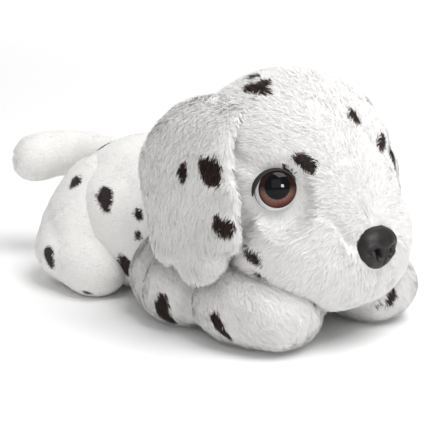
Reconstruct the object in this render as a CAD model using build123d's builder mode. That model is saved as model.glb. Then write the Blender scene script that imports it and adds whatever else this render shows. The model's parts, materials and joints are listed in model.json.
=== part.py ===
"""A plush puppy that lies on its belly with its chin between its forelegs.

The dog faces -Y, its left side is +X and the floor is Z = 0. The origin is on the
belly's flat underside. Lengths are in millimetres and angles in degrees.
"""

import os
from math import asin, degrees

from build123d import *

os.makedirs("parts", exist_ok=True)

# ---------------------------------------------------------------- driving dimensions

cloth = 2.0  # plush backing with its pile pressed flat
free_gap = 0.6  # room left between two members that move past each other
sewn_gap = 0.1  # room between two pieces of the same member

across = Vector(1, 0, 0)
lengthways = Vector(0, 1, 0)

# The torso is a stuffed limb from chest to rump, flattened where it lies on the floor.
chest = Vector(0, 3, 40)
chest_r = 44
rump = Vector(0, 53, 43)
rump_r = 50
belly_seam_z = 22

# The neck is a stuffed ball, and the head turns up and down about its middle.
neck_pivot = Vector(0, -42, 62)
neck_r = 24
neck_opening_r = 14

# The head is three round-ended cushions lying crosswise that run into one another.
skull_centre = Vector(0, -84, 98)
skull_half_width = 60
skull_r = 54
muzzle_centre = Vector(0, -115, 63)
muzzle_half_width = 42
muzzle_r = 35
jowl_centre = Vector(0, -102, 60)
jowl_half_width = 56
jowl_r = 34
crown_half_width = 17
chin_half_width = 16
chin_seam_z = 54

# Each eye is a domed safety eye with a stem and a lock washer.
eye_seat = Vector(43.6, -115.8, 94)
eye_facing = Vector(0.60, -0.80, 0.02)
eye_r = 12
eye_cup_depth = 1.6
iris_r = 11.2
iris_depth = 0.6
lens_height = 6.2
lid_width = 1.5
stem_r = 3
stem_length = 11
washer_r = 8.5
washer_depth = 1.2
washer_inset = 2.4
stem_fit = 0.1

# The nose is a moulded plastic button with the same kind of stem.
nose_centre = Vector(0, -149, 60)
nose_half_width = 14
nose_r = 11.5
nose_dish_r = 3.2
nose_dish_spread = 5.6
nose_dish_rise = -1.5
nose_stem_length = 13
nose_washer_inset = 3.6

# The ears are two-layer flaps that bend out of the head's sides and hang down.
ear_lining_depth = 3.2
ear_outer_depth = 4.4
ear_bend_centre = (30, 100)
ear_bend_r = 33.5
ear_bend = 45
ear_outline = [
    (-92, 126),
    (-66, 134),
    (-40, 130),
    (-27, 108),
    (-32, 82),
    (-54, 60),
    (-78, 48),
    (-98, 47),
    (-108, 60),
    (-106, 86),
    (-100, 110),
]

# The legs are stuffed limbs: two balls and the cone that touches both.
shoulder = Vector(45, -20, 24)
shoulder_r = 24
wrist = Vector(40, -119, 20)
wrist_r = 21.5
hip = Vector(40, 62, 33)
hip_r = 32
heel = Vector(55, 36, 17)
heel_r = 19
beans_from = 0.55  # share of a foreleg's length where its bean filling begins

# The tail bends to the dog's right.
tail_root = Vector(0, 86, 70)
tail_root_r = 13
tail_bend = Vector(-11, 118, 71)
tail_bend_r = 14.5
tail_tip = Vector(-34, 133, 69)
tail_tip_r = 14.5
tail_room_end = Vector(0, 116, 71)
tail_room_end_r = 31

# The bean pouch lies in the belly, on the inside of its cloth.
pouch_centre = Vector(0, 24, 7)
pouch_half_length = 32
pouch_r = 20
pouch_cloth = 0.8
pouch_seam_z = 10

span = 400  # larger than the whole dog
seam_lean = Vector(0.5, 0.2, 1)  # turns each revolved surface's seam away from the cuts

# ---------------------------------------------------------------- shared shapes


def limb(root, root_r, tip, tip_r, grow=0.0):
    """Two balls and the cone that touches both, turned about the line between them."""
    reach = tip - root
    lean = degrees(asin((root_r - tip_r) / reach.length))
    side = reach.cross(seam_lean).normalized()
    with BuildPart() as shape:
        with BuildSketch(Plane(origin=root, x_dir=reach.normalized(), z_dir=side)):
            with BuildLine():
                back = CenterArc((0, 0), root_r + grow, 90 - lean, 90 + lean)
                front = CenterArc((reach.length, 0), tip_r + grow, 0, 90 - lean)
                Line(back @ 0, front @ 1)
                Line(back @ 1, front @ 0)
            make_face()
        revolve(axis=Axis(root, reach))
    return shape.part


def pill(centre, along, half_length, r, inset=0.0):
    """A limb with two equal ends, made smaller all round by the inset."""
    offset_to_ball = along * (half_length - r)
    return limb(centre - offset_to_ball, r, centre + offset_to_ball, r, -inset)


def above(level):
    """The space above a level."""
    return Pos(0, 0, level + span / 2) * Box(2 * span, 2 * span, span)


def below(level):
    """The space below a level."""
    return Pos(0, 0, level - span / 2) * Box(2 * span, 2 * span, span)


def beside(edge, sign):
    """The space to the left (+1) or right (-1) of a plane across X."""
    return Pos(edge + sign * span / 2, 0, 0) * Box(span, 2 * span, 2 * span)


def beyond(plane):
    """The space on the side of a plane that it faces."""
    return plane * Pos(0, 0, span / 2) * Box(2 * span, 2 * span, span)


def shaped(base, within=(), without=()):
    """The largest solid of a base shape kept within some spaces and cleared of others."""
    with BuildPart() as piece:
        add(base)
        for space in within:
            add(space, mode=Mode.INTERSECT)
        for space in without:
            add(space, mode=Mode.SUBTRACT)
    return piece.part.solids().sort_by(SortBy.VOLUME)[-1]


def whole(half):
    """A piece that is the same on both sides, from its left half."""
    return half + half.mirror(Plane.YZ)


def save(piece, name):
    """Label a finished piece and write it."""
    piece.label = name
    export_step(piece, f"parts/{name}.step")


def save_both(piece, name):
    """Write the dog's left-hand piece, and its mirror image for the right."""
    save(piece, f"{name}_left")
    save(piece.mirror(Plane.YZ), f"{name}_right")


# ---------------------------------------------------------------- members as whole shapes


def foreleg(grow=0.0):
    """The left foreleg's outside, grown all round."""
    return limb(shoulder, shoulder_r, wrist, wrist_r, grow)


def hindleg(grow=0.0):
    """The left hind leg's outside, grown all round."""
    return limb(hip, hip_r, heel, heel_r, grow)


def tail(grow=0.0):
    """The tail's outside: two limbs that share the ball at the bend."""
    upper = limb(tail_root, tail_root_r, tail_bend, tail_bend_r, grow)
    lower = limb(tail_bend, tail_bend_r, tail_tip, tail_tip_r, grow)
    return upper + lower


def head(inset=0.0):
    """The head's outside, or its inside when inset. Its left cheek is flat over the foreleg."""
    skull = pill(skull_centre, across, skull_half_width, skull_r, inset)
    muzzle = pill(muzzle_centre, across, muzzle_half_width, muzzle_r, inset)
    jowls = pill(jowl_centre, across, jowl_half_width, jowl_r, inset)
    cheek_level = shoulder.Z + shoulder_r + free_gap + inset
    return skull + muzzle + jowls - (below(cheek_level) & beside(chin_half_width - inset, 1))


def neck_ball(grow=0.0):
    """The neck's outside, grown all round."""
    return Pos(neck_pivot.X, neck_pivot.Y, neck_pivot.Z) * Sphere(neck_r + grow)


def torso(inset=0.0):
    """The torso's round outside, or its inside when inset, before the floor flattens it."""
    return limb(chest, chest_r, rump, rump_r, -inset)


def pouch(inset=0.0):
    """The bean pouch's outside, or its inside when inset, before it is flattened."""
    return pill(pouch_centre, lengthways, pouch_half_length, pouch_r, inset)


floor_up = above(0)
cloth_up = above(cloth)
fill_up = above(cloth + sewn_gap)
left_side = beside(0, 1)
foreleg_room = foreleg(free_gap)
hindleg_room = hindleg(free_gap)
tail_room = limb(tail_root, tail_root_r + free_gap, tail_room_end, tail_room_end_r)
neck_seat = neck_ball(sewn_gap)
torso_cuts = [neck_seat, foreleg_room, hindleg_room, tail_room]

# ---------------------------------------------------------------- torso

torso_hollow = shaped(torso(cloth), [cloth_up])
torso_cover = shaped(torso(), [floor_up, left_side], [torso_hollow, *torso_cuts])
save(whole(shaped(torso_cover, [below(belly_seam_z)])), "belly_panel")
save_both(shaped(torso_cover, [above(belly_seam_z)]), "back_panel")

pouch_floor = above(cloth + sewn_gap)
pouch_hollow = shaped(pouch(pouch_cloth), [above(cloth + sewn_gap + pouch_cloth)])
pouch_wall = shaped(pouch(), [pouch_floor], [pouch_hollow])
pouch_room = pouch(-sewn_gap)
save(shaped(pouch_wall, [above(pouch_seam_z)]), "bean_pouch_top")
save(shaped(pouch_wall, [below(pouch_seam_z)]), "bean_pouch_base")
save(pouch_hollow, "torso_beans")

torso_fill = torso(cloth + sewn_gap)
torso_stuffing = shaped(torso_fill, [fill_up, left_side], [pouch_room, *torso_cuts])
save(whole(torso_stuffing), "torso_stuffing")

# ---------------------------------------------------------------- neck

neck_outside = neck_ball()
neck_inside = neck_ball(-cloth)
neck_back = Plane(origin=neck_pivot, z_dir=(0, 1, 0))

with BuildPart() as neck_sleeve:
    add(neck_outside)
    add(neck_inside, mode=Mode.SUBTRACT)
    with BuildSketch(neck_back):
        Circle(neck_opening_r)
    extrude(amount=neck_r, mode=Mode.SUBTRACT)
save(neck_sleeve.part, "neck_sleeve")
save(neck_ball(-cloth - sewn_gap), "neck_stuffing")

# ---------------------------------------------------------------- head

head_clearance = [neck_ball(free_gap)]
head_cover = shaped(head(), [left_side], [head(cloth), *head_clearance])
eye_plane = Plane(origin=eye_seat, z_dir=eye_facing)
nose_plane = Plane(origin=nose_centre, x_dir=(1, 0, 0), z_dir=(0, -1, 0))

with BuildPart() as eye_seat_cut:
    with BuildSketch(eye_plane):
        Circle(eye_r + lid_width + sewn_gap)
    extrude(amount=2 * eye_r)
    with BuildSketch(eye_plane):
        Circle(stem_r + stem_fit)
    extrude(amount=-stem_length - sewn_gap)

with BuildPart() as nose_seat_cut:
    with BuildSketch(nose_plane):
        SlotOverall(2 * (nose_half_width + sewn_gap), 2 * (nose_r + sewn_gap))
    extrude(amount=2 * nose_r)
    with BuildSketch(nose_plane):
        Circle(stem_r + stem_fit)
    extrude(amount=-nose_stem_length - sewn_gap)

with BuildPart() as eye_washer_room:
    with BuildSketch(eye_plane):
        Circle(washer_r + sewn_gap)
    extrude(amount=-washer_inset - washer_depth - sewn_gap)

with BuildPart() as nose_washer_room:
    with BuildSketch(nose_plane):
        Circle(washer_r + sewn_gap)
    extrude(amount=-nose_washer_inset - washer_depth - sewn_gap)

face_cuts = [eye_seat_cut.part, nose_seat_cut.part]
washer_rooms = [eye_washer_room.part, nose_washer_room.part]
crown_edge = beside(crown_half_width, 1)
chin_up = above(chin_seam_z)
save(whole(shaped(head_cover, [chin_up], [crown_edge, *face_cuts])), "crown_gusset")
save_both(shaped(head_cover, [chin_up, crown_edge], face_cuts), "head_side")
save(whole(shaped(head_cover, [below(chin_seam_z)])), "chin_gusset")

head_fill = shaped(head(cloth + sewn_gap), [left_side])
head_stuffing = shaped(head_fill, [], [*head_clearance, *face_cuts, *washer_rooms])
save(whole(head_stuffing), "head_stuffing")

# ---------------------------------------------------------------- eyes

with BuildPart() as eye_cup:
    with BuildSketch(eye_plane):
        Circle(eye_r)
    extrude(amount=eye_cup_depth)
    with BuildSketch(eye_plane):
        Circle(stem_r)
    extrude(amount=-stem_length)
save_both(eye_cup.part, "eye_cup")

iris_plane = eye_plane.offset(eye_cup_depth)
with BuildPart() as eye_iris:
    with BuildSketch(iris_plane):
        Circle(iris_r)
    extrude(amount=iris_depth)
save_both(eye_iris.part, "eye_iris")

lens_plane = Plane(origin=iris_plane.offset(iris_depth).origin, x_dir=eye_facing, z_dir=(0, 0, 1))
dome_r = (eye_r**2 + lens_height**2) / (2 * lens_height)
with BuildPart() as eye_lens:
    with BuildSketch(lens_plane):
        with BuildLine():
            base = Line((0, 0), (0, eye_r))
            dome = RadiusArc(base @ 1, (lens_height, 0), dome_r)
            Line(dome @ 1, base @ 0)
        make_face()
    revolve(axis=Axis(eye_seat, eye_facing))
save_both(eye_lens.part, "eye_lens")

with BuildPart() as eye_lid:
    with BuildSketch(eye_plane):
        Circle(eye_r + lid_width)
        Circle(eye_r + sewn_gap, mode=Mode.SUBTRACT)
    extrude(amount=eye_cup_depth)
save_both(eye_lid.part, "eye_lid")

with BuildPart() as eye_washer:
    with BuildSketch(eye_plane.offset(-washer_inset)):
        Circle(washer_r)
        Circle(stem_r, mode=Mode.SUBTRACT)
    extrude(amount=-washer_depth)
save_both(eye_washer.part, "eye_washer")

# ---------------------------------------------------------------- nose

nose_ball = pill(nose_centre, across, nose_half_width, nose_r)

with BuildPart() as nose:
    add(nose_ball)
    split(bisect_by=nose_plane, keep=Keep.TOP)
    with Locations(nose_plane):
        with Locations((-nose_dish_spread, nose_dish_rise, nose_r), (nose_dish_spread, nose_dish_rise, nose_r)):
            Sphere(nose_dish_r, mode=Mode.SUBTRACT)
    with BuildSketch(nose_plane):
        Circle(stem_r)
    extrude(amount=-nose_stem_length)
save(nose.part, "nose")

with BuildPart() as nose_washer:
    with BuildSketch(nose_plane.offset(-nose_washer_inset)):
        Circle(washer_r)
        Circle(stem_r + stem_fit, mode=Mode.SUBTRACT)
    extrude(amount=-washer_depth)
save(nose_washer.part, "nose_washer")

# ---------------------------------------------------------------- ears

side_view = Plane(origin=(0, 0, 0), x_dir=(0, 1, 0), z_dir=(1, 0, 0))
with BuildPart() as ear_blank:
    with BuildSketch(side_view):
        with BuildLine():
            Spline(*ear_outline, periodic=True)
        make_face()
    extrude(amount=2 * skull_half_width)


def ear_layer(near_r, far_r):
    """A strip that bends down from the root and hangs to the tip, cut to the ear's outline."""
    near_x = ear_bend_centre[0] + near_r
    far_x = ear_bend_centre[0] + far_r
    with BuildPart() as layer:
        with BuildSketch(Plane.XZ):
            with BuildLine():
                near = CenterArc(ear_bend_centre, near_r, 0, ear_bend)
                far = CenterArc(ear_bend_centre, far_r, 0, ear_bend)
                Line(near @ 1, far @ 1)
                Polyline(near @ 0, (near_x, 0), (far_x, 0), far @ 0)
            make_face()
        extrude(amount=span / 2, both=True)
        add(ear_blank.part, mode=Mode.INTERSECT)
    return layer.part


ear_middle_r = ear_bend_r + ear_lining_depth
save_both(ear_layer(ear_bend_r, ear_middle_r), "ear_lining")
save_both(ear_layer(ear_middle_r + sewn_gap, ear_middle_r + ear_outer_depth), "ear_outer")

# ---------------------------------------------------------------- legs


def sew_leg(name, outside, hollow, fill, seam_plane, beans_plane):
    """A leg's two cloth sides, its fibre filling and its bean filling, for both sides of the dog."""
    cover = shaped(outside, [floor_up], [shaped(hollow, [cloth_up])])
    save_both(shaped(cover, [beyond(seam_plane)]), f"{name}_outer_panel")
    save_both(shaped(cover, [], [beyond(seam_plane)]), f"{name}_inner_panel")
    save_both(shaped(fill, [fill_up], [beyond(beans_plane.offset(-sewn_gap))]), f"{name}_stuffing")
    save_both(shaped(fill, [fill_up, beyond(beans_plane)]), f"{name}_beans")


def leg_planes(root, tip, share):
    """The upright plane along a leg, facing out, and the plane across it where its beans begin."""
    reach = tip - root
    outward = Vector(-reach.Y, reach.X, 0)
    across_leg = Plane(origin=root + reach * share, z_dir=reach)
    return Plane(origin=root, z_dir=outward), across_leg


fore_fill = foreleg(-cloth - sewn_gap)
sew_leg("foreleg", foreleg(), foreleg(-cloth), fore_fill, *leg_planes(shoulder, wrist, beans_from))
hind_fill = hindleg(-cloth - sewn_gap)
sew_leg("hindleg", hindleg(), hindleg(-cloth), hind_fill, *leg_planes(hip, heel, beans_from))

# ---------------------------------------------------------------- tail

tail_upper_way = (tail_bend - tail_root).normalized()
tail_lower_way = (tail_tip - tail_bend).normalized()
past_bend = beyond(Plane(origin=tail_bend, z_dir=tail_upper_way + tail_lower_way))
upper_sleeve = limb(tail_root, tail_root_r, tail_bend, tail_bend_r)
upper_hollow = limb(tail_root, tail_root_r, tail_bend, tail_bend_r, -cloth)
lower_sleeve = limb(tail_bend, tail_bend_r, tail_tip, tail_tip_r)
lower_hollow = limb(tail_bend, tail_bend_r, tail_tip, tail_tip_r, -cloth)
save(shaped(upper_sleeve, [], [upper_hollow, past_bend]), "tail_base_sleeve")
save(shaped(lower_sleeve, [past_bend], [lower_hollow]), "tail_tip_sleeve")
save(tail(-cloth - sewn_gap), "tail_stuffing")
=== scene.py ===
# %% [markdown]
# # A plush puppy
# The puppy's members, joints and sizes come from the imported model. Here we dress it: skins sewn
# from white plush, a brushed pile of real strands, domed eyes and a moulded nose.

# %% Load the frame
import json

import bpy
import numpy as np
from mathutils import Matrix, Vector


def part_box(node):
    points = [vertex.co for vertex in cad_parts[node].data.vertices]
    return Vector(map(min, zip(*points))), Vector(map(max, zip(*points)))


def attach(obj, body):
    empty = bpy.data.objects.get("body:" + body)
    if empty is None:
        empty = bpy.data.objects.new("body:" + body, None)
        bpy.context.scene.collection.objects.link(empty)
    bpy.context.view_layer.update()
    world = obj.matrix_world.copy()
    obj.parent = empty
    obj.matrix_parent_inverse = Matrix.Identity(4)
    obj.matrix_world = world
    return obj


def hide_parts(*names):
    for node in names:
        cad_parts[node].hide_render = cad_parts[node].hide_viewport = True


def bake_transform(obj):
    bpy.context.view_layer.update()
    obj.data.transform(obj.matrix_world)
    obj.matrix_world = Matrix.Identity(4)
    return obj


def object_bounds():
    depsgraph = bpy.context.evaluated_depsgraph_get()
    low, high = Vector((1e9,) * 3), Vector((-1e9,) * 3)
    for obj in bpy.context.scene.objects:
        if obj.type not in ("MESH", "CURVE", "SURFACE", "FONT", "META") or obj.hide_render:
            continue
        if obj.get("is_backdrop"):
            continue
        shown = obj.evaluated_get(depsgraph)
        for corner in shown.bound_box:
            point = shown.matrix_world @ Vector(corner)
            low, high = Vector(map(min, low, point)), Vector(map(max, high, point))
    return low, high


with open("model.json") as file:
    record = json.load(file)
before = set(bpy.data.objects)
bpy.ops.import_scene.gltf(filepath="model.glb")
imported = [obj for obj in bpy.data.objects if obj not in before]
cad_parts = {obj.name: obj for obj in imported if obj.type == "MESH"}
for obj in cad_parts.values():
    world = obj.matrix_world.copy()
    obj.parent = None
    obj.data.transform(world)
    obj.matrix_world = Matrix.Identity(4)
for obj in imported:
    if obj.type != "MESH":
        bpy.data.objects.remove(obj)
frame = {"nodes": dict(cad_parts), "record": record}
cad_box = [list(corner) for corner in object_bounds()]
MM = 0.001

# %% [markdown]
# ## Round forms that run into one another
# A stuffed member has no hard edges: filling pushes the cloth out into balls that flow together.
# We describe a member as a few stretched balls and blend them with a smooth minimum, which rounds
# the valley between two balls the way tight cloth bridges it. A cloth simulation with air pressure
# inside would wrinkle by itself. The computed form used here is quicker, and a crease can be put
# exactly where a seam pulls.


# %% Distance to a blend of stretched balls
def blend_distance(points, balls, softness):
    """Each ball's distance is (length of the point in the ball's own radii - 1) x its smallest radius;
    the smooth minimum is -softness x log(sum of exp(-distance / softness))."""
    total = 0
    for centre, radii in balls:
        radii = np.array(radii, float)
        reach = np.linalg.norm((points - centre) / radii, axis=-1)
        total = total + np.exp(-np.clip((reach - 1) * radii.min() / softness, -30, 30))
    return -softness * np.log(total)


def both_sides(centre, radii):
    """A ball and its mirror image across the dog's middle."""
    x, y, z = centre
    return [(centre, radii), ((-x, y, z), radii)]


# %% [markdown]
# A skin is found from inside: rays leave a point in the member's middle in every direction, and
# each stops where it leaves the blend. The directions lie on a grid of two angles, so the skin
# is a grid too, with a pole at either end that we can hide where another piece covers it.


# %% Directions and skins
def directions(rows, columns, pole, stretch=(1, 1, 1)):
    """Unit vectors on a grid: row angle 0 to pi from the pole, column angle once round it,
    stretched so that a long member gets as many rows along it as it needs."""
    pole = np.array(pole, float)
    side = np.cross(pole, [0.3, 0.2, 1.0])
    side = side / np.linalg.norm(side)
    up = np.cross(side, pole)
    tilt = np.linspace(0, np.pi, rows)[:, None, None]
    turn = np.linspace(0, 2 * np.pi, columns, endpoint=False)[None, :, None]
    rays = np.cos(tilt) * pole + np.sin(tilt) * (np.cos(turn) * side + np.sin(turn) * up)
    rays = rays * np.array(stretch, float)
    return rays / np.linalg.norm(rays, axis=-1, keepdims=True)


def skin_grid(centre, rays, balls, softness, farthest):
    """Where each ray leaves the blend: march outwards in even steps, keep the last step that is
    inside, then halve the gap until it closes."""
    centre = np.array(centre, float)
    steps = np.linspace(0, farthest, 48)
    inside = np.zeros(rays.shape[:-1])
    for step in steps:
        hit = blend_distance(centre + rays * step, balls, softness) < 0
        inside = np.where(hit, step, inside)
    low, high = inside, inside + steps[1]
    for _ in range(12):
        middle = (low + high) / 2
        hit = blend_distance(centre + rays * middle[..., None], balls, softness) < 0
        low, high = np.where(hit, middle, low), np.where(hit, high, middle)
    return centre + rays * low[..., None]


def grid_normals(grid):
    """Outward normals: the cross product of the two grid directions, and at a pole the mean of
    the ring beside it."""
    down = np.gradient(grid, axis=0)
    around = (np.roll(grid, -1, axis=1) - np.roll(grid, 1, axis=1)) / 2
    normals = np.cross(around, down)
    normals[0] = normals[1].mean(axis=0)
    normals[-1] = normals[-2].mean(axis=0)
    normals = normals / (np.linalg.norm(normals, axis=-1, keepdims=True) + 1e-9)
    outward = np.sum(normals * (grid - grid.mean(axis=(0, 1))), axis=-1).mean()
    return normals * np.sign(outward)


def push(grid, amount):
    """The grid moved along its normals by an amount for each point."""
    return grid + grid_normals(grid) * amount[..., None]


# %% [markdown]
# ## From grids to pieces
# The grid goes into a mesh as whole arrays. The two poles become one point each, closed with a
# fan of triangles, so every skin is watertight.


# %% Make a mesh from a closed grid
def new_piece(name, points, faces, sizes):
    """A mesh object in metres from points in millimetres, a flat list of corners and face sizes."""
    mesh = bpy.data.meshes.new(name)
    mesh.vertices.add(len(points))
    mesh.vertices.foreach_set("co", (np.asarray(points) * MM).astype(np.float32).ravel())
    mesh.loops.add(len(faces))
    mesh.loops.foreach_set("vertex_index", np.asarray(faces, np.int32))
    mesh.polygons.add(len(sizes))
    starts = np.concatenate([[0], np.cumsum(sizes)[:-1]])
    mesh.polygons.foreach_set("loop_start", starts.astype(np.int32))
    mesh.polygons.foreach_set("use_smooth", np.ones(len(sizes), bool))
    mesh.update()
    mesh.validate()
    piece = bpy.data.objects.new(name, mesh)
    bpy.context.scene.collection.objects.link(piece)
    return piece


def closed_faces(rows, columns):
    """Quads between neighbouring rings, and a fan of triangles round each pole."""
    ring = np.arange(columns)
    after = (ring + 1) % columns
    start = 1 + np.arange(rows - 3)[:, None] * columns
    quads = np.stack([start + ring, start + after, start + columns + after, start + columns + ring], -1)
    last = 1 + (rows - 3) * columns
    top = np.stack([np.zeros_like(ring), after + 1, ring + 1], -1)
    tail = np.stack([np.full_like(ring, last + columns), last + ring, last + after], -1)
    faces = np.concatenate([quads.ravel(), top.ravel(), tail.ravel()])
    sizes = np.concatenate([np.full(quads.size // 4, 4), np.full(2 * columns, 3)])
    return faces, sizes


def closed_piece(name, grid):
    """A closed skin from a grid whose first and last rows are poles. Faces are turned outwards
    when the signed volume, a sum of corner triple products, comes out negative."""
    rows, columns = grid.shape[:2]
    points = np.concatenate([grid[:1, 0], grid[1:-1].reshape(-1, 3), grid[-1:, 0]])
    faces, sizes = closed_faces(rows, columns)
    quads = faces[: 4 * (rows - 3) * columns].reshape(-1, 4)
    a, b, c = (points[quads[:, k]] - points.mean(axis=0) for k in range(3))
    if np.sum(a * np.cross(b, c)) < 0:
        split = 4 * (rows - 3) * columns
        quads = faces[:split].reshape(-1, 4)[:, ::-1].ravel()
        fans = faces[split:].reshape(-1, 3)[:, ::-1].ravel()
        faces = np.concatenate([quads, fans])
    return new_piece(name, points, faces, sizes)


def paint(piece, grid_values, label):
    """Store one value per point of a closed grid as an attribute that a material can read."""
    flat = np.concatenate([grid_values[:1, 0], grid_values[1:-1].ravel(), grid_values[-1:, 0]])
    attribute = piece.data.attributes.new(label, "FLOAT", "POINT")
    attribute.data.foreach_set("value", flat.astype(np.float32))


# %% [markdown]
# ## Spots
# Each spot is a patch of dyed pile. It is described by its middle on the skin, how far it reaches
# along a direction and across it, and the direction. A little waviness keeps its edge from being
# an ellipse.


# %% Spot mask
def ripple(points, seed, size):
    """A smooth random value between about -1 and 1: sines along random directions."""
    rng = np.random.default_rng(seed)
    total = 0
    for _ in range(6):
        way = rng.normal(size=3)
        way = way / np.linalg.norm(way) * 2 * np.pi / (size * rng.uniform(0.6, 1.7))
        total = total + np.sin(points @ way + rng.uniform(0, 6.28))
    return total / 3


def spot_mask(points, spots):
    """1 inside a spot and 0 outside: the distance in the spot's own lengths, with a wavy edge."""
    mask = np.zeros(points.shape[:-1])
    for number, (centre, along, reach, width) in enumerate(spots):
        away = points - np.array(centre, float)
        way = np.array(along, float) / np.linalg.norm(along)
        lengthways = away @ way
        sideways = np.linalg.norm(away - lengthways[..., None] * way, axis=-1)
        distance = np.sqrt((lengthways / reach) ** 2 + (sideways / width) ** 2)
        distance = distance + 0.16 * ripple(points, number, 9)
        mask = np.maximum(mask, np.clip((1.08 - distance) / 0.16, 0, 1))
    return mask


# %% [markdown]
# ## Plush cloth
# Under the strands the cloth itself is white with dyed patches. The dye is read from the painted
# attribute, and a fine noise gives the pressed pile its grain.


# %% Materials for cloth and strands
def material(name, colour, roughness, **sockets):
    """A Principled material whose plain values sit on the shader's own sockets."""
    made = bpy.data.materials.new(name)
    made.use_nodes = True
    shader = made.node_tree.nodes["Principled BSDF"]
    shader.inputs["Base Color"].default_value = (*colour, 1)
    shader.inputs["Roughness"].default_value = roughness
    for socket, value in sockets.items():
        shader.inputs[socket.replace("_", " ")].default_value = value
    return made


WHITE_PILE = (0.90, 0.885, 0.865)
DYED_PILE = (0.016, 0.009, 0.008)


def plush_cloth(name, grain):
    """White cloth that turns to the dye where the piece's spot attribute says so, over a fine grain."""
    made = material(name, WHITE_PILE, 0.95, Sheen_Weight=0.25, Specular_IOR_Level=0.2)
    nodes, links = made.node_tree.nodes, made.node_tree.links
    shader = nodes["Principled BSDF"]
    place = nodes.new("ShaderNodeTexCoord")
    noise = nodes.new("ShaderNodeTexNoise")
    noise.inputs["Scale"].default_value = grain
    noise.inputs["Detail"].default_value = 6
    links.new(place.outputs["Object"], noise.inputs["Vector"])
    tone = nodes.new("ShaderNodeValToRGB")
    tone.color_ramp.elements[0].color = (0.80, 0.785, 0.765, 1)
    tone.color_ramp.elements[1].color = (0.93, 0.92, 0.90, 1)
    links.new(noise.outputs["Fac"], tone.inputs["Fac"])
    dyed = nodes.new("ShaderNodeAttribute")
    dyed.attribute_name = "spots"
    mix = nodes.new("ShaderNodeMix")
    mix.data_type = "RGBA"
    links.new(dyed.outputs["Fac"], mix.inputs["Factor"])
    links.new(tone.outputs["Color"], mix.inputs["A"])
    mix.inputs["B"].default_value = (*DYED_PILE, 1)
    links.new(mix.outputs["Result"], shader.inputs["Base Color"])
    bump = nodes.new("ShaderNodeBump")
    bump.inputs["Strength"].default_value = 0.5
    bump.inputs["Distance"].default_value = 0.0008
    links.new(noise.outputs["Fac"], bump.inputs["Height"])
    links.new(bump.outputs["Normal"], shader.inputs["Normal"])
    return made


cloth = plush_cloth("plush_cloth", 900)
WHITE_TINTS = [(0.97, 0.965, 0.955), (0.95, 0.94, 0.93), (0.98, 0.975, 0.97), (0.93, 0.915, 0.90)]
DYED_TINTS = [(0.008, 0.006, 0.006), (0.013, 0.008, 0.007), (0.055, 0.022, 0.016)]
white_strands = [
    material(f"white_strand_{n}", tint, 0.75, Sheen_Weight=0.2, Specular_IOR_Level=0.25)
    for n, tint in enumerate(WHITE_TINTS)
]
dyed_strands = [
    material(f"dyed_strand_{n}", tint, 0.6, Specular_IOR_Level=0.3)
    for n, tint in enumerate(DYED_TINTS)
]


# %% [markdown]
# ## The brushed pile
# Thousands of strands stand on the cloth. Each is a flat blade of three triangles: a wide root, a
# bend and a point. Strands are planted evenly by area, lean the way the pile was brushed, and are
# gathered by a slow ripple into tufts. The head, ears and forelegs have the long pile.


# %% Plant strands on a skin
FLOOR_REST = 0.3
PILE_ABOVE_FLOOR = 2.6
HEAD_PILE = {"length": 5.0, "width": 0.46, "lean": 0.68}
EAR_PILE = {"length": 5.2, "width": 0.5, "lean": 0.66}
FORELEG_PILE = {"length": 4.8, "width": 0.45, "lean": 0.66}
SHORT_PILE = {"length": 2.6, "width": 0.45, "lean": 0.76}


def off_the_floor(points):
    """True where a strand has room above the floor."""
    return points[:, 2] > PILE_ABOVE_FLOOR


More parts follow.
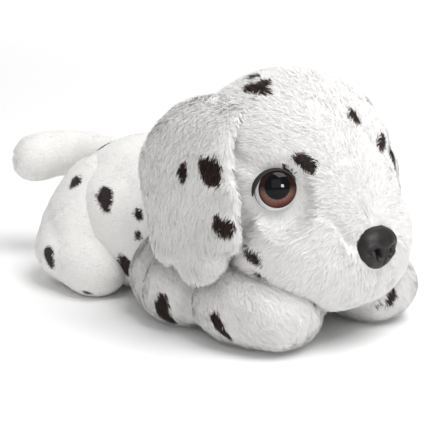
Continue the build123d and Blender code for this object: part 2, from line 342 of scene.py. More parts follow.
def plant(name, grid, count, brush, spots, seed, length, width, lean, keep=None, facing_way=None):
    """Pick cells in proportion to their area, a random place in each, and grow a blade there:
    root, then half a length along the normal tipped towards the brushed way, then half a length
    tipped further. Returns white and dyed pieces."""
    rng = np.random.default_rng(seed)
    ring = np.concatenate([grid, grid[:, :1]], axis=1)
    normals = grid_normals(grid)
    normal_ring = np.concatenate([normals, normals[:, :1]], axis=1)
    side_a = ring[1:, :-1] - ring[:-1, :-1]
    side_b = ring[:-1, 1:] - ring[:-1, :-1]
    area = np.linalg.norm(np.cross(side_a, side_b), axis=-1)
    chosen = rng.choice(area.size, count, p=(area / area.sum()).ravel())
    row, column = np.unravel_index(chosen, area.shape)
    u, v = rng.random((2, count, 1))

    def between(values):
        """Straight-line mix of a cell's four corners."""
        near = values[row, column] * (1 - v) + values[row, column + 1] * v
        far = values[row + 1, column] * (1 - v) + values[row + 1, column + 1] * v
        return near * (1 - u) + far * u

    root = between(ring)
    normal = between(normal_ring)
    normal = normal / np.linalg.norm(normal, axis=1, keepdims=True)
    kept = np.ones(count, bool) if keep is None else keep(root)
    if facing_way is not None:
        kept &= normal @ facing_way > 0
    root, normal = root[kept], normal[kept]
    count = len(root)
    tuft = np.stack([ripple(root, seed + k, 11) for k in range(3)], -1)
    fine = np.stack([ripple(root, seed + 7 + k, 4) for k in range(3)], -1)
    way = brush(root) + 0.3 * tuft + 0.25 * fine + 0.22 * rng.normal(size=(count, 3))
    way = way - np.sum(way * normal, axis=1, keepdims=True) * normal
    way = way / (np.linalg.norm(way, axis=1, keepdims=True) + 1e-9)
    tall = length * rng.uniform(0.65, 1.15, (count, 1)) * (1 + 0.15 * ripple(root, seed + 3, 14)[:, None])
    stand = normal * (1 - lean) + way * lean
    stand = stand / np.linalg.norm(stand, axis=1, keepdims=True)
    lie = stand + 0.55 * way - 0.12 * normal
    lie = lie / np.linalg.norm(lie, axis=1, keepdims=True)
    across = np.cross(stand, normal)
    across = across / (np.linalg.norm(across, axis=1, keepdims=True) + 1e-9)
    across = across + 0.35 * rng.normal(size=(count, 1)) * normal
    half = width / 2 * rng.uniform(0.7, 1.2, (count, 1))
    root = root - 0.4 * normal
    bend = root + stand * tall * 0.5
    tip = bend + lie * tall * 0.5
    dye = spot_mask(root, spots)
    dyed = (dye + rng.normal(size=count) * 0.15 > 0.5) & (dye > 0)
    made = []
    for label, mine, tints in (("white", ~dyed, white_strands), ("dyed", dyed, dyed_strands)):
        if mine.sum() == 0:
            continue
        blade = np.stack(
            [
                root[mine] - across[mine] * half[mine],
                root[mine] + across[mine] * half[mine],
                bend[mine] + across[mine] * half[mine] * 0.75,
                bend[mine] - across[mine] * half[mine] * 0.75,
                tip[mine],
            ],
            axis=1,
        )
        first = np.arange(mine.sum())[:, None] * 5
        quads = first + np.array([0, 1, 2, 3])
        tips = first + np.array([3, 2, 4])
        faces = np.concatenate([quads, tips], axis=1).ravel()
        sizes = np.tile([4, 3], int(mine.sum()))
        piece = new_piece(f"{name}_{label}_pile", blade.reshape(-1, 3), faces, sizes)
        for tint in tints:
            piece.data.materials.append(tint)
        shade = rng.integers(0, len(tints), int(mine.sum()))
        shade = np.where((dye[mine] < 0.9) & (label == "dyed"), len(tints) - 1, shade)
        piece.data.polygons.foreach_set("material_index", shade.repeat(2).astype(np.int32))
        facing = np.repeat(normal[mine] + 0.16 * rng.normal(size=(int(mine.sum()), 3)), 5, axis=0)
        facing = facing / np.linalg.norm(facing, axis=1, keepdims=True)
        piece.data.normals_split_custom_set_from_vertices(facing)
        made.append(piece)
    print(name, "strands:", count)
    return made


# %% [markdown]
# ## Where members touch
# The chin lies on the forelegs, so the legs' form comes first: wherever the head's skin would
# sink into a leg it is raised until it clears it. The legs also swing out from under the cheeks,
# so the clearance is kept for the whole swing and the joint never tears a hole.

# %% The forelegs' form, and clearing it
FORELEG_BALLS = [
    ((44, -24, 25), (23, 22, 25)),
    ((50, -46, 22), (25, 25, 22)),
    ((46, -90, 22.5), (26, 28, 22.5)),
    ((40, -113, 22), (26, 27, 22)),
]
LEG_SOFTNESS = 5
joints = {joint["name"]: joint for joint in frame["record"]["behaviour"]["joints"]}
shoulder_pin = np.array(joints["foreleg_left_splay"]["pos_m"]) / MM
print("foreleg swings about", shoulder_pin.round(1))


def raised_off_legs(points, gap, turns):
    """Points go up by what they lack of a gap to the leg, some rounds over. A leg turned by an
    angle about its pin is tested by turning the point back by that angle."""
    for _ in range(9):
        lacking = np.zeros(points.shape[:-1])
        for turn in np.radians(turns):
            x = np.abs(points[..., 0]) - shoulder_pin[0]
            y = points[..., 1] - shoulder_pin[1]
            back_x = x * np.cos(turn) + y * np.sin(turn) + shoulder_pin[0]
            back_y = y * np.cos(turn) - x * np.sin(turn) + shoulder_pin[1]
            local = np.stack([back_x, back_y, points[..., 2]], -1)
            lacking = np.maximum(lacking, gap - blend_distance(local, FORELEG_BALLS, LEG_SOFTNESS))
        points = points + lacking[..., None] * np.array([0, 0, 1.0])
    return points


def hollow(points, middle, radius, depth):
    """A round dent: depth x exp(-(distance / radius) squared)."""
    away = np.linalg.norm(points - np.array(middle, float), axis=-1)
    return depth * np.exp(-((away / radius) ** 2))


def crease(points, path, width, depth):
    """A groove along straight runs: depth x exp(-(distance to the nearest run / width) squared)."""
    nearest = np.full(points.shape[:-1], 1e3)
    for start, end in zip(path[:-1], path[1:]):
        start, run = np.array(start, float), np.array(end, float) - np.array(start, float)
        share = np.clip((points - start) @ run / (run @ run), 0, 1)
        nearest = np.minimum(nearest, np.linalg.norm(points - start - share[..., None] * run, axis=-1))
    return depth * np.exp(-((nearest / width) ** 2))


def folded(points):
    """The same points with the right side laid over the left, so that one path makes two creases."""
    return points * np.where(points[..., :1] < 0, [-1.0, 1, 1], [1.0, 1, 1])


# %% [markdown]
# ## The head
# The head is one round skull with full cheeks and a short blunt muzzle. Each eye sits in a bowl:
# the safety eye's washer pulls the cloth back, and filling swells round it into brow and cheek.

# %% Head skin
HEAD_BALLS = [
    ((0, -80, 98), (60, 54, 54)),
    ((0, -104, 92), (42, 38, 40)),
    ((0, -122, 60), (40, 28, 32)),
    ((0, -126, 42), (34, 25, 19)),
    *both_sides((27, -106, 60), (29, 33, 31)),
]
HEAD_MIDDLE = (0, -88, 84)
EYE_FACING = np.array([0.60, -0.80, 0.02])
EYE_FACING = EYE_FACING / np.linalg.norm(EYE_FACING)
EYE_RADIUS = 12
iris_low, iris_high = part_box("eye_iris_left")
eye_seat = np.array((iris_low + iris_high) / 2) / MM - 1.9 * EYE_FACING
nose_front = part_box("nose")[0].y / MM
print("left eye's seat", eye_seat.round(1), "nose front", round(nose_front, 1))


def eye_socket(points, seat, facing):
    """Skin ahead of the seat is held back to a bowl: flat as far as the eye's edge, then rising
    with the square of the distance. A smooth minimum joins bowl and head."""
    away = points - seat
    ahead = away @ facing
    out = np.linalg.norm(away - ahead[..., None] * facing, axis=-1)
    limit = 0.8 + 11 * np.clip((out - EYE_RADIUS) / 12, 0, None) ** 2
    held = -np.log(np.exp(-np.clip(ahead, -40, 40)) + np.exp(-np.clip(limit, 0, 40)))
    held = np.where(ahead > -12, held, ahead)
    return points + (held - ahead)[..., None] * facing


head_rays = directions(220, 300, (1, 0, 0))
head = skin_grid(HEAD_MIDDLE, head_rays, HEAD_BALLS, 7, 110)
FACE_CREASES = [
    # a path in millimetres, its width and its depth
    ([(31, -134, 84), (24, -144, 76), (19, -150, 66)], 4.0, 3.4),
    ([(40, -130, 78), (43, -130, 66), (40, -134, 54)], 4.5, 2.2),
    ([(54, -112, 82), (59, -102, 68), (60, -92, 56)], 5.5, 3.0),
    ([(30, -131, 106), (17, -137, 112), (10, -134, 124)], 5, 2.0),
    ([(48, -114, 104), (56, -98, 110), (54, -88, 120)], 5, 2.0),
    ([(8, -152, 46), (20, -148, 42), (34, -138, 42)], 3, 2.2),
]
for path, width, depth in FACE_CREASES:
    head = push(head, -crease(folded(head), path, width, depth))
head = push(head, 0.6 * ripple(head, 5, 46))
for flip in ([1, 1, 1], [-1, 1, 1]):
    head = eye_socket(head, eye_seat * flip, EYE_FACING * flip)
head = raised_off_legs(head, 0.5, [0, 9, 18, 27, 35])
print("head skin", head.shape)


def eye_offset(points):
    """Distance from the nearer eye's axis, and the direction straight away from that axis."""
    near = folded(points) - eye_seat
    out = near - (near @ EYE_FACING)[..., None] * EYE_FACING
    distance = np.linalg.norm(out, axis=-1)
    distance = np.where(near @ EYE_FACING > -12, distance, 99)
    out = out / (np.linalg.norm(out, axis=-1, keepdims=True) + 1e-9)
    return distance, out * np.where(points[..., :1] < 0, [-1.0, 1, 1], [1.0, 1, 1])


def head_brush(points):
    """Away from the nose and down, and close to an eye straight away from it."""
    away = points - np.array([0, -150, 70])
    away = away / np.linalg.norm(away, axis=-1, keepdims=True)
    distance, out = eye_offset(points)
    near_eye = np.exp(-(((distance - EYE_RADIUS) / 7) ** 2))[..., None]
    return away + np.array([0, 0, -0.5]) + 2.5 * near_eye * out


def off_the_face(points):
    """True outside the two eyes and the nose."""
    nose_away = (points - np.array([0, nose_front + 12, 60])) / np.array([14.5, 14, 13])
    return (eye_offset(points)[0] > EYE_RADIUS + 0.6) & (np.linalg.norm(nose_away, axis=-1) > 1)


HEAD_SPOTS = [
    # a spot's middle, the way it runs, its reach along that way and its half width
    ((-29, -88, 145), (0.1, -1, -0.1), 10, 6.5),
    ((-21, -76, 149), (0, -1, 0), 5, 2.5),
    ((-33, -131, 109), (0.8, -0.6, -0.2), 7.5, 6.5),
    ((-38, -121, 103), (0.5, -0.4, -0.7), 6, 1.3),
    ((5, -129, 130), (-0.2, -0.7, -0.7), 7.5, 3.8),
    ((35, -112, 132), (0.9, 0.3, -0.4), 3.5, 2.5),
    ((23, -134, 113), (-0.5, -0.6, -0.7), 8, 4.5),
    ((-57, -114, 59), (0.2, -0.9, -0.4), 7, 4),
    ((-53, -118, 48), (0.3, -1, -0.1), 4, 2),
    ((-42, -132, 41), (0.8, -0.3, -0.5), 4.5, 1.5),
    ((-57, -99, 123), (0.8, -0.1, 0.6), 8, 4.2),
    ((50, -100, 120), (0.2, 1, 0.3), 8, 5),
    ((56, -114, 62), (0, -1, -0.5), 6, 4),
    ((-18, -48, 140), (1, 0.4, 0), 9, 6),
    ((22, -38, 124), (0.5, 0.2, -1), 8, 6),
    ((2, -62, 151), (0.6, 1, 0), 7, 5),
    ((-42, -44, 112), (0.3, 0.4, -1), 8, 5),
    ((46, -44, 98), (-0.2, 0.4, -1), 8, 5),
]

head_skin = closed_piece("head_skin", head)
paint(head_skin, spot_mask(head, HEAD_SPOTS), "spots")
head_skin.data.materials.append(cloth)
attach(head_skin, "head")
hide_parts("crown_gusset", "head_side_left", "head_side_right", "chin_gusset", "head_stuffing")
FACE_ENDS = -92
HEAD_QUARTERS = {
    "left_face": lambda p: (p[:, 0] > 0) & (p[:, 1] < FACE_ENDS),
    "left_back": lambda p: (p[:, 0] > 0) & (p[:, 1] >= FACE_ENDS),
    "right_face": lambda p: (p[:, 0] <= 0) & (p[:, 1] < FACE_ENDS),
    "right_back": lambda p: (p[:, 0] <= 0) & (p[:, 1] >= FACE_ENDS),
}
for seed, (quarter, inside) in enumerate(HEAD_QUARTERS.items()):
    piles = plant(
        f"head_{quarter}", head, 150000, head_brush, HEAD_SPOTS, 11 + seed, **HEAD_PILE,
        keep=lambda p, inside=inside: inside(p) & off_the_face(p),
    )
    for pile in piles:
        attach(pile, "head")

# %% [markdown]
# ## The torso
# A full back and rump, flat where it lies on the floor. Where a leg is sewn on, its cloth pulls
# the torso in, so soft folds run from the shoulder and the hip.

# %% Torso skin
TORSO_BALLS = [
    ((0, 50, 46), (50, 52, 46)),
    *both_sides((24, 34, 38), (32, 40, 36)),
    ((0, 4, 42), (45, 52, 44)),
    ((0, -40, 62), (26, 26, 26)),
]
TORSO_FOLDS = [
    # a path in millimetres, its width and its depth
    ([(30, -24, 72), (42, -6, 60), (46, 8, 44), (46, 14, 26)], 5, 3.0),
    ([(34, 0, 74), (44, 14, 58), (50, 24, 40)], 5, 2.0),
    ([(40, 20, 70), (47, 32, 56), (50, 40, 44)], 6, 1.6),
    ([(20, 96, 66), (34, 92, 70), (46, 76, 70)], 5, 1.4),
]
torso_rays = directions(160, 220, (0, 1, 0), (1, 1.6, 1))
torso = skin_grid((0, 25, 46), torso_rays, TORSO_BALLS, 7, 130)
for path, width, depth in TORSO_FOLDS:
    torso = push(torso, -crease(folded(torso), path, width, depth))
torso = push(torso, 0.7 * ripple(torso, 8, 38))
torso[..., 2] = np.maximum(torso[..., 2], FLOOR_REST)


def body_brush(points):
    """Back along the body, and down its sides."""
    return np.stack([0.2 * points[:, 0] / 50, np.full(len(points), 1.0), np.full(len(points), -0.5)], -1)


TORSO_SPOTS = [
    ((-52, 29, 63), (-0.2, -0.7, -0.6), 9.5, 6),
    ((-50, 11, 22), (0.4, -0.1, -0.9), 9, 5.5),
    ((-47, 2, 57), (-0.1, -0.4, -0.9), 4.5, 2.8),
    ((-49, -1, 44), (0, -0.3, -1), 4, 2.4),
    ((-12, 20, 86), (1, 0.5, 0), 8, 6),
    ((18, 44, 91), (0.6, 1, 0), 9, 6),
    ((50, 22, 62), (0, 0.6, -1), 9, 6),
    ((50, -2, 38), (0.2, 0, -1), 7, 5),
    ((-20, 74, 85), (0.8, -0.6, 0), 8, 5),
    ((26, 86, 72), (0.2, 0.5, -1), 8, 5),
    ((2, 101, 48), (1, 0, -0.6), 7, 5),
]
torso_skin = closed_piece("torso_skin", torso)
paint(torso_skin, spot_mask(torso, TORSO_SPOTS), "spots")
torso_skin.data.materials.append(cloth)
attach(torso_skin, "torso")
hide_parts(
    "belly_panel", "back_panel_left", "back_panel_right", "torso_stuffing", "bean_pouch_top",
    "bean_pouch_base", "torso_beans", "neck_sleeve", "neck_stuffing",
)
for pile in plant("torso", torso, 58000, body_brush, TORSO_SPOTS, 21, **SHORT_PILE, keep=off_the_floor):
    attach(pile, "torso")

# %% [markdown]
# ## Legs
# The forelegs are long sausages with blunt paws; the hind legs are round haunches with a small foot.

# %% Legs, left and right
HINDLEG_BALLS = [
    ((45, 60, 20), (30, 35, 20)),
    ((38, 62, 36), (29, 33, 29)),
    ((28, 60, 54), (25, 31, 27)),
    ((57, 34, 16), (17, 19, 16)),
]
LEG_FOLDS = {
    "foreleg": [
        ([(26, -62, 38), (48, -68, 42), (66, -68, 30), (72, -66, 10)], 4.5, 5.0),
        ([(30, -24, 48), (52, -28, 47), (70, -30, 30), (73, -28, 16)], 5, 2.2),
        ([(66, -84, 38), (70, -96, 28), (64, -108, 24)], 5, 1.2),
    ],
    "hindleg": [
        ([(60, 88, 50), (70, 70, 44), (70, 52, 30)], 6, 1.4),
        ([(44, 36, 38), (62, 42, 32), (72, 46, 18)], 4.5, 1.8),
    ],
}


def mirrored(grid, side):
    """The left member's grid as it is, or mirrored for the right."""
    return grid * np.array([1 if side == "left" else -1, 1, 1])


def forward_brush(points):
    """Towards the paw, and down."""
    return np.stack([np.zeros(len(points)), np.full(len(points), -0.8), np.full(len(points), -0.7)], -1)


LEG_SPOTS = {
    "foreleg_left": [
        ((30, -137, 23), (-0.1, 0, -1), 7, 3.2),
        ((23, -133, 17), (0.6, -0.6, 0.5), 4.5, 1),
        ((73, -60, 20), (0, 0.2, -1), 10, 6),
        ((66, -104, 28), (0.2, -0.8, -0.5), 8, 5),
        ((58, -28, 45), (1, 0.4, -0.5), 7, 5),
    ],
    "foreleg_right": [
        ((-72, -51, 14), (0.2, 0.1, -1), 12, 6),
        ((-72, -61, 32), (0.4, -0.5, 0.8), 7, 1.8),
        ((-71, -99, 17), (0.3, -0.4, -0.9), 11, 4.2),
        ((-35, -135, 32), (0.6, -0.4, -0.7), 3.5, 1.4),
    ],
    "hindleg_left": [
        ((70, 70, 34), (0, 0.6, -1), 9, 6),
        ((60, 44, 46), (0.3, -1, -0.5), 7, 5),
        ((76, 46, 18), (0, 0.6, -1), 6, 4),
        ((46, 92, 26), (1, -0.4, -0.6), 8, 5),
    ],
    "hindleg_right": [
        ((-52, 60, 68), (0.5, -0.5, 0.6), 5, 4.6),
        ((-78, 56, 23), (-0.1, -0.5, -0.9), 9, 5.5),
        ((-69, 27, 4), (0.6, -0.8, -0.1), 3.5, 2.2),
        ((-75, 62, 5), (-0.5, 0.7, 0), 4, 3),
        ((-48, 92, 28), (0.6, 0.4, -0.8), 8, 5),
    ],
}
for kind, balls, middle, reach, strands, brush, look, slot in (
    ("foreleg", FORELEG_BALLS, (44, -70, 22), (1, 2.6, 1), 56000, forward_brush, FORELEG_PILE, "long_pile"),
    ("hindleg", HINDLEG_BALLS, (44, 60, 30), (1, 1.3, 1), 32000, body_brush, SHORT_PILE, "short_pile"),
):
    rays = directions(150, 150, (0, 1, 0), reach)
    left = skin_grid(middle, rays, balls, LEG_SOFTNESS, 110)
    for path, width, depth in LEG_FOLDS[kind]:
        left = push(left, -crease(left, path, width, depth))
    left = push(left, 0.5 * ripple(left, 9, 30))
    left[..., 2] = np.maximum(left[..., 2], FLOOR_REST)
    for side in ("left", "right"):
        name = f"{kind}_{side}"
        grid = mirrored(left, side)
        skin = closed_piece(f"{name}_skin", grid)
        paint(skin, spot_mask(grid, LEG_SPOTS[name]), "spots")
        skin.data.materials.append(cloth)
        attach(skin, name)
        nodes = [f"{kind}_{part}_{side}" for part in ("outer_panel", "inner_panel", "stuffing", "beans")]
        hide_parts(*nodes)
        seed = 31 + len(name) + (side == "left")
        piles = plant(name, grid, strands, brush, LEG_SPOTS[name], seed, **look, keep=off_the_floor)
        for pile in piles:
            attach(pile, name)

# %% [markdown]
# ## Tail
# The tail bends to the dog's right. Its end is gathered shut with a few stitches, which leave a
# dimple and short puckers.

# %% Tail
TAIL_BALLS = [
    ((0, 84, 70), (14, 16, 14)),
    ((-4, 104, 72), (13.5, 18, 13.5)),
    ((-14, 120, 72), (14, 15, 14)),
    ((-26, 129, 70), (14.5, 14, 14.5)),
    ((-35, 132, 68), (13, 13, 13.5)),
]
TAIL_TIP = (-48, 135, 68)
TAIL_PUCKERS = [
    [TAIL_TIP, (-44, 128, 74)],
    [TAIL_TIP, (-42, 144, 72)],
    [TAIL_TIP, (-46, 130, 60)],
    [TAIL_TIP, (-40, 142, 60)],
]
tail_rays = directions(110, 110, (-0.7, 0.7, 0))
tail = skin_grid((-14, 117, 71), tail_rays, TAIL_BALLS, 4, 60)
puckers = sum(crease(tail, path, 1.6, 0.9) for path in TAIL_PUCKERS)
tail = push(tail, -hollow(tail, TAIL_TIP, 5, 2.4) - puckers)
tail = push(tail, 0.4 * ripple(tail, 10, 24))
tail_skin = closed_piece("tail_skin", tail)
paint(tail_skin, spot_mask(tail, []), "spots")
tail_skin.data.materials.append(cloth)
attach(tail_skin, "tail")
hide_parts("tail_base_sleeve", "tail_tip_sleeve", "tail_stuffing")
for pile in plant("tail", tail, 13000, body_brush, [], 51, **SHORT_PILE):
    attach(pile, "tail")

# %% [markdown]
# ## Ears
# Each ear is a flat two-layer flap, so its skin is a thin pillow on a grid: the outline is carried
# from the root down to the tip, thickest in the middle. Its root lies inside the head, where it is
# sewn into the crown seam.

# %% Ears
EAR_PATH = np.array(
    [
        # x, y, z of the flap's middle line, half its width, half its thickness, towards the root or tip
        (33, -66, 136, 16, 3.0),
        (46, -67, 132, 24, 5.0),
        (57, -66, 122, 30, 6.0),
        (65, -65, 106, 36, 6.0),
        (68, -68, 88, 38, 6.2),
        (69, -77, 71, 40, 6.0),
        (69, -84, 60, 35, 5.6),
        (68, -88, 51, 25, 4.6),
        (68, -94, 44, 7, 2.0),
    ],
    float,
)


def smooth_path(rows, count):
    """A Catmull-Rom curve through the rows: each span mixes its two ends and their neighbours."""
    padded = np.concatenate([2 * rows[:1] - rows[1:2], rows, 2 * rows[-1:] - rows[-2:-1]])
    along = np.linspace(0, len(rows) - 1 - 1e-6, count)
    span = along.astype(int)
    t = (along - span)[:, None]
    p0, p1, p2, p3 = (padded[span + k] for k in range(4))
    return 0.5 * (
        2 * p1 + (p2 - p0) * t + (2 * p0 - 5 * p1 + 4 * p2 - p3) * t**2 + (3 * p1 - p0 - 3 * p2 + p3) * t**3
    )


ear_line = smooth_path(EAR_PATH, 120)
angle = np.linspace(0, 2 * np.pi, 130, endpoint=False)
down = np.gradient(ear_line[:, :3], axis=0)
down = down / np.linalg.norm(down, axis=1, keepdims=True)
breadth = np.tile([0.0, 1.0, 0.0], (len(down), 1))
breadth = breadth - np.sum(breadth * down, axis=1, keepdims=True) * down
breadth = breadth / np.linalg.norm(breadth, axis=1, keepdims=True)
outward = np.cross(breadth, down)
outward = outward * np.sign(outward[:, :1])
across = np.cos(angle)
thick = np.sign(np.sin(angle)) * np.abs(np.sin(angle)) ** 0.8
ear = (
    ear_line[:, None, :3]
    + breadth[:, None] * (ear_line[:, 3:4] * across)[..., None]
    + outward[:, None] * (ear_line[:, 4:5] * thick)[..., None]
)
wave = 1.3 * ripple(ear, 12, 52)
ear = ear + outward[:, None] * wave[..., None]
ear[0] = ear_line[0, :3]
ear[-1] = ear_line[-1, :3]


def ear_brush(points):
    """Down the flap."""
    return np.tile([0.0, -0.15, -1.0], (len(points), 1))


EAR_SPOTS = {
    "left": [
        ((72, -84, 110), (0, -0.6, -0.8), 10, 7),
        ((74, -58, 92), (0, 0.5, -0.8), 8, 5),
        ((73, -98, 76), (0, -0.7, 0.6), 7, 5),
        ((60, -52, 124), (0.6, 1, 0), 7, 4),
    ],
    "right": [
        ((-58, -100, 125), (0.8, -0.1, 0.6), 8, 3.6),
        ((-71, -91, 107), (0, -0.8, -0.6), 12, 7),
        ((-73, -71, 103), (-0.2, -0.3, -0.9), 7, 4),
        ((-72, -106, 78), (0.5, -0.7, -0.5), 8.5, 5.5),
    ],
}
EAR_ROOT_HEIGHT = 134
LEFT_EAR_SWEEP = 0.13
for side, sign in (("left", 1), ("right", -1)):
    grid = mirrored(ear, side)
    if side == "left":
        # the left ear is swept back and in, more the further down it hangs
        hang = np.clip(EAR_ROOT_HEIGHT - grid[..., 2:], 0, None)
        grid = grid + (LEFT_EAR_SWEEP * hang) * np.array([-0.3, 1, 0])
    ear_skin = closed_piece(f"ear_{side}_skin", grid)
    paint(ear_skin, spot_mask(grid, EAR_SPOTS[side]), "spots")
    ear_skin.data.materials.append(cloth)
    pieces = [ear_skin]
    for face, facing_out in (("outer", 1), ("inner", -1)):
        pieces += plant(
            f"ear_{side}_{face}", grid, 62000, ear_brush, EAR_SPOTS[side], 61 + sign + facing_out, **EAR_PILE,
            facing_way=np.array([sign * facing_out, 0, 0.35 * facing_out]),
        )
    for piece in pieces:
        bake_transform(piece)
    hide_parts(f"ear_outer_{side}", f"ear_lining_{side}")

# %% [markdown]
# ## Eyes
# A safety eye is a clear dome over a painted disc. One glossy dome carries the paint here: rings
# round a pupil that sits a little high, so the dog looks up, with a pale rim showing low down.

# %% Eye colours
PUPIL_RADIUS = 7.1
IRIS_RADIUS = 10.7
EYE_HEIGHT = 6.9
PUPIL = np.array([0.003, 0.003, 0.004])
IRIS_GREY = np.array([0.17, 0.105, 0.080])
IRIS_RED = np.array([0.16, 0.038, 0.024])
IRIS_WINE = np.array([0.12, 0.013, 0.020])
IRIS_DARK = np.array([0.022, 0.009, 0.007])
EYE_WHITE = np.array([0.72, 0.75, 0.77])


def mix(first, second, share):
    """The first colour where the share is 0, and the second where it is 1."""
    share = np.clip(share, 0, 1)[..., None]
    return first * (1 - share) + second * share


def eye_colours(out, up):
    """Colour from the place across the eye, out towards the ear and up: iris rings and radial
    streaks about the pupil's middle, painted shade of the upper lid darkening the top, inside a pale rim."""
    pupil_away = np.hypot(out + 0.3, up - 3.2)
    iris_away = np.hypot(out + 0.7, up - 1.4)
    round_it = np.arctan2(up - 3.2, out + 0.3)
    streaks = sum(np.sin(count * round_it + count) for count in (23, 37, 58, 81)) / 4
    ring = (pupil_away - PUPIL_RADIUS) / 4.5 + 0.16 * streaks
    iris = mix(IRIS_GREY * (1 + 0.5 * streaks[..., None]), IRIS_RED, ring * 1.6 - 0.45)
    low_wine = np.clip((-up - 4.5) / 4, 0, 1) * np.clip((4 - out) / 6, 0, 1)
    iris = mix(iris, IRIS_WINE, low_wine * 0.9)
    # painted shade: the iris darkens towards the top, where the upper lid shades it
    iris = mix(iris, IRIS_DARK, (up + 1.5) / 5)
    iris = mix(iris, IRIS_DARK, (iris_away - IRIS_RADIUS + 1.0) / 0.8)
    colour = mix(iris, PUPIL, (PUPIL_RADIUS + 0.35 - pupil_away) / 0.5)
    colour = mix(colour, EYE_WHITE, (iris_away - IRIS_RADIUS) / 0.25)
    return mix(colour, PUPIL, (np.hypot(out, up) - EYE_RADIUS + 0.35) / 0.25)


# %% [markdown]
# The upper lid is a strip of black felt sewn along the eye's edge. It is widest above the outer
# corner, where it ends in a point, and thins out towards the nose.


# %% Eyes and lids
def eye_axes(sign):
    """The directions out towards the ear, up and ahead, for the eye on one side."""
    ahead = EYE_FACING * [sign, 1, 1]
    out = np.cross([0.0, 0, 1], ahead) * sign
    out = out / np.linalg.norm(out)
    return out, np.cross(ahead, out) * sign, ahead


def eye_dome(rows=64, columns=130):
    """A shallow cap of a ball on a flat back: radius x sin and height x cos of the row angle.
    Returns the points in eye axes, out, up and ahead of the cup's rim."""
    tilt = np.linspace(0, np.pi / 2, rows)[:, None]
    turn = np.linspace(0, 2 * np.pi, columns, endpoint=False)[None, :]
    cap = [EYE_RADIUS * np.sin(tilt) * np.cos(turn), EYE_RADIUS * np.sin(tilt) * np.sin(turn)]
    cap = np.stack([*cap, EYE_HEIGHT * np.cos(tilt) + 0 * turn], -1)
    return np.concatenate([cap, np.tile([0.0, 0, -0.1], (1, columns, 1))])


def lid_strip(rows=90, columns=24):
    """An oval section carried along the eye's upper edge, from the outer corner 14 degrees below
    level to the inner end, wide at first and then tapering."""
    along = np.linspace(0, 1, rows)[:, None]
    turn = np.radians(170 * along - 14)
    radius = 12.2 + 1.2 * (1 - along) ** 7
    half = 0.25 + 1.3 * np.clip(along * 5, 0, 1) ** 0.8 * (1 - along) ** 0.9
    half = half * np.clip((1 - along) * 12 + 0.02, 0, 1)
    around = np.linspace(0, 2 * np.pi, columns, endpoint=False)[None, :]
    reach = radius + half * np.cos(around)
    height = 2.5 - 0.9 * (reach - 12) / 2 + 0.8 * np.clip(half, 0, 1) * np.sin(around)
    return np.stack([reach * np.cos(turn), reach * np.sin(turn), height], -1)


def placed(points, sign):
    """Eye axes to the dog's own."""
    out, up, ahead = eye_axes(sign)
    base = eye_seat * [sign, 1, 1] + 1.5 * ahead
    return base + points[..., :1] * out + points[..., 1:2] * up + points[..., 2:] * ahead


def lit_plastic(name, colour, roughness, grain, bump, **sockets):
    """Moulded plastic or felt: a plain colour with a fine grain that moves the surface."""
    made = material(name, colour, roughness, **sockets)
    nodes, links = made.node_tree.nodes, made.node_tree.links
    place = nodes.new("ShaderNodeTexCoord")
    noise = nodes.new("ShaderNodeTexNoise")
    noise.inputs["Scale"].default_value = grain
    noise.inputs["Detail"].default_value = 4
    links.new(place.outputs["Object"], noise.inputs["Vector"])
    tone = nodes.new("ShaderNodeValToRGB")
    tone.color_ramp.elements[0].color = (*[0.7 * value for value in colour], 1)
    tone.color_ramp.elements[1].color = (*[1.4 * value for value in colour], 1)
    links.new(noise.outputs["Fac"], tone.inputs["Fac"])
    links.new(tone.outputs["Color"], made.node_tree.nodes["Principled BSDF"].inputs["Base Color"])
    relief = nodes.new("ShaderNodeBump")
    relief.inputs["Strength"].default_value = bump
    relief.inputs["Distance"].default_value = 0.0003
    links.new(noise.outputs["Fac"], relief.inputs["Height"])
    links.new(relief.outputs["Normal"], nodes["Principled BSDF"].inputs["Normal"])
    return made


painted_eye = material(
    "painted_eye", (0.02, 0.01, 0.01), 0.5, Specular_IOR_Level=0.0, Coat_Weight=0.35, Coat_Roughness=0.02
)
colours = painted_eye.node_tree.nodes.new("ShaderNodeAttribute")
colours.attribute_name = "eye_colours"
painted_eye.node_tree.links.new(
    colours.outputs["Color"], painted_eye.node_tree.nodes["Principled BSDF"].inputs["Base Color"]
)
black_felt = lit_plastic("black_felt", (0.008, 0.007, 0.007), 0.75, 1800, 0.5, Sheen_Weight=0.1)
black_plastic = lit_plastic("black_plastic", (0.010, 0.009, 0.009), 0.25, 900, 0.1)
white_plastic = lit_plastic("white_plastic", (0.62, 0.62, 0.60), 0.45, 700, 0.1)

for side, sign in (("left", 1), ("right", -1)):
    dome = eye_dome()
    ball = closed_piece(f"eye_ball_{side}", placed(dome, sign))
    rgb = eye_colours(dome[..., 0], dome[..., 1])
    flat = np.concatenate([rgb[:1, 0], rgb[1:-1].reshape(-1, 3), rgb[-1:, 0]])
    flat = np.concatenate([flat, np.ones((len(flat), 1))], axis=1)
    layer = ball.data.attributes.new("eye_colours", "FLOAT_COLOR", "POINT")
    layer.data.foreach_set("color", flat.astype(np.float32).ravel())
    ball.data.materials.append(painted_eye)
    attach(ball, "head")
    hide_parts(f"eye_lens_{side}", f"eye_iris_{side}")
    lid = closed_piece(f"lid_strip_{side}", placed(lid_strip(), sign))
    lid.data.materials.append(black_felt)
    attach(lid, "head")
    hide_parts(f"eye_lid_{side}")
    frame["nodes"][f"eye_cup_{side}"].material_slots[0].material = black_plastic
    frame["nodes"][f"eye_washer_{side}"].material_slots[0].material = white_plastic
frame["nodes"]["nose_washer"].material_slots[0].material = white_plastic
print("eyes at", (eye_seat + 1.5 * EYE_FACING).round(1))

# %% [markdown]
# ## Nose
# A moulded button, broad above and narrow below. The nostrils are comma-shaped dents with their
# tails turned out, and a groove runs from between them down to the lip.

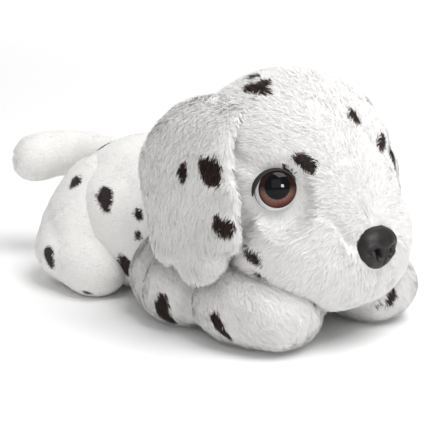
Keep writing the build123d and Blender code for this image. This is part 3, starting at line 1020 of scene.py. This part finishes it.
# %% Nose
NOSE_BALLS = [
    ((0, nose_front + 9.5, 63.5), (13, 8.6, 8.2)),
    *both_sides((6, nose_front + 8.5, 60), (7, 7.6, 7.5)),
    ((0, nose_front + 9.5, 54), (8, 7.6, 6.5)),
]
NOSTRIL = [
    (4.6, nose_front, 57.0),
    (5.4, nose_front + 0.4, 60.0),
    (8.0, nose_front + 1.4, 61.2),
    (10.4, nose_front + 3, 59.6),
]
nose = skin_grid((0, nose_front + 10, 60), directions(110, 150, (0, 1, 0)), NOSE_BALLS, 2.2, 30)
dents = crease(folded(nose), NOSTRIL, 1.7, 3.6) + crease(folded(nose), NOSTRIL[:2], 2.0, 2.2)
groove = crease(nose, [(0, nose_front, 60), (0, nose_front + 2, 46)], 0.9, 1.5)
nose = push(nose, -dents - groove)
nose = push(nose, 0.12 * ripple(nose, 14, 5))
nose_piece = closed_piece("nose_button", nose)
nose_vinyl = lit_plastic("nose_vinyl", (0.010, 0.007, 0.007), 0.45, 1300, 0.5, Specular_IOR_Level=0.4)
nose_piece.data.materials.append(nose_vinyl)
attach(nose_piece, "head")
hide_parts("nose")
print("nose", nose.reshape(-1, 3).min(axis=0).round(1), nose.reshape(-1, 3).max(axis=0).round(1))

# %% [markdown]
# ## Floor, light and camera
# A white dog on a pale floor keeps its shape only if the light has a direction: one large soft lamp
# from above and in front, a weak one beside it, and a dimmer even sky. A lamp over the far floor
# keeps the background white, and a small one that only shiny things see puts the glint in the eyes.

# %% Floor and light
bpy.ops.mesh.primitive_plane_add(size=8, location=(0, 0, -0.0002))
floor = bpy.context.object
floor.name = "floor"
floor.data.materials.append(material("pale_floor", (0.96, 0.96, 0.96), 0.9))
floor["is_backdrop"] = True

world = bpy.data.worlds.new("studio")
bpy.context.scene.world = world
world.use_nodes = True
world.node_tree.nodes["Background"].inputs["Color"].default_value = (1, 1, 1, 1)
world.node_tree.nodes["Background"].inputs["Strength"].default_value = 0.4
bpy.context.scene.view_settings.view_transform = "Standard"


def aim(thing, place, target):
    """Stand a light or camera at a place in metres, looking at a target."""
    thing.location = place
    thing.rotation_euler = (Vector(target) - Vector(place)).to_track_quat("-Z", "Y").to_euler()


LAMPS = {
    # name: place, target, power and size
    "key": ((0.1, -0.9, 1.8), (0, -0.03, 0.05), 34, 1.3),
    "fill": ((-0.9, -1.5, 0.7), (0, -0.03, 0.05), 3, 1.0),
    "backdrop": ((1.9, 2.1, 1.4), (1.9, 2.1, 0), 34, 2.2),
    "glint": ((-0.28, -1.28, 0.3), (0, -0.03, 0.05), 6, 0.2),
}
for name, (place, target, power, size) in LAMPS.items():
    lamp = bpy.data.objects.new(name, bpy.data.lights.new(name, "AREA"))
    lamp.data.energy = power
    lamp.data.size = size
    lamp.visible_diffuse = name != "glint"
    bpy.context.scene.collection.objects.link(lamp)
    aim(lamp, place, target)

# %% Camera
camera = bpy.data.objects.new("camera", bpy.data.cameras.new("camera"))
bpy.context.scene.collection.objects.link(camera)
bpy.context.scene.camera = camera
camera.data.sensor_width = 36
camera.data.lens = 127
aim(camera, (-0.613, -0.705, 0.298), (-0.0665, -0.0911, 0.0784))

# %% Finish
size = {"cad": cad_box, "visual": [list(corner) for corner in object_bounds()]}
print("cad box", np.round(cad_box, 4).tolist(), "visual box", np.round(size["visual"], 4).tolist())
